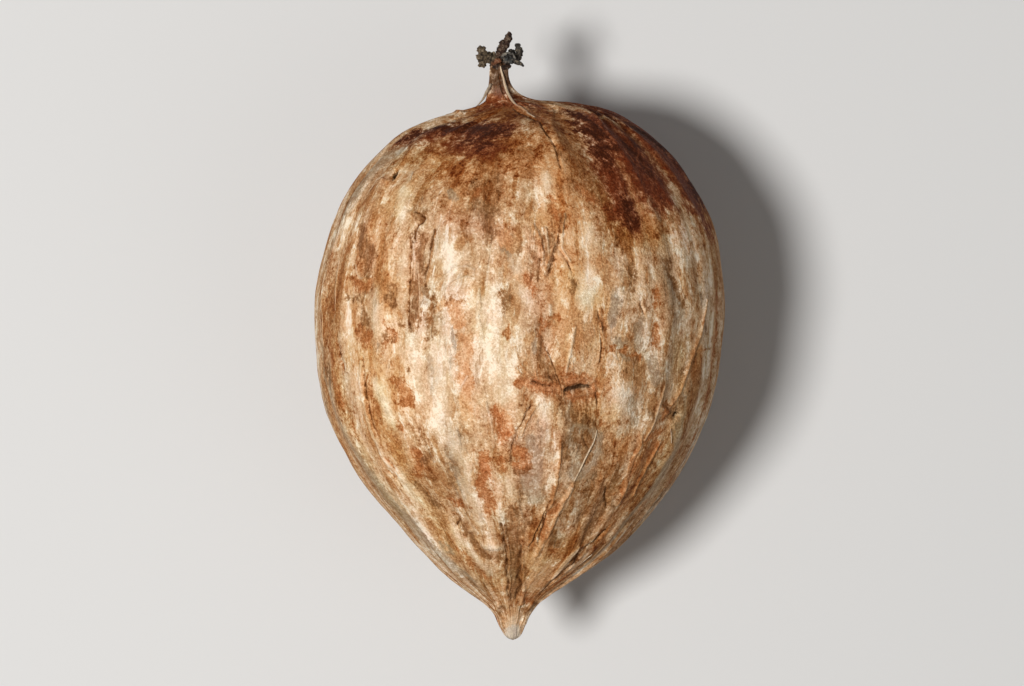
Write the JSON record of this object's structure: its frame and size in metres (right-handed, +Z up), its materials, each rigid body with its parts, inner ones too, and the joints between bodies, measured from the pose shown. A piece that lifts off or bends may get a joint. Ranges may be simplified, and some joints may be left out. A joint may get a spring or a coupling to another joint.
{
  "type": "pecan in shell",
  "caption": "Whole drop-shaped nut in its woody shell, lying on its side, with a pointed tip and a withered stigma on a short neck.",
  "frame": {"origin": "on the surface that the nut lies on, under the middle of its bounding box", "axes": "+Y along the nut, from its pointed tip to the withered stigma; +Z up; +X to the right as seen from above"},
  "size_m": [0.0228, 0.0337, 0.0216],
  "materials": {
    "shell": "dry weathered nut shell with a faint satin sheen, mottled in tan, rust and grey",
    "dried_stigma": "matt, dark and shrivelled",
    "fibre": "smooth pale plant fibre"
  },
  "bodies": {
    "root": {"shell": "shell", "dried_stigma": "dried_stigma", "fibre_right": "fibre", "fibre_left": "fibre"}
  },
  "joints": []
}
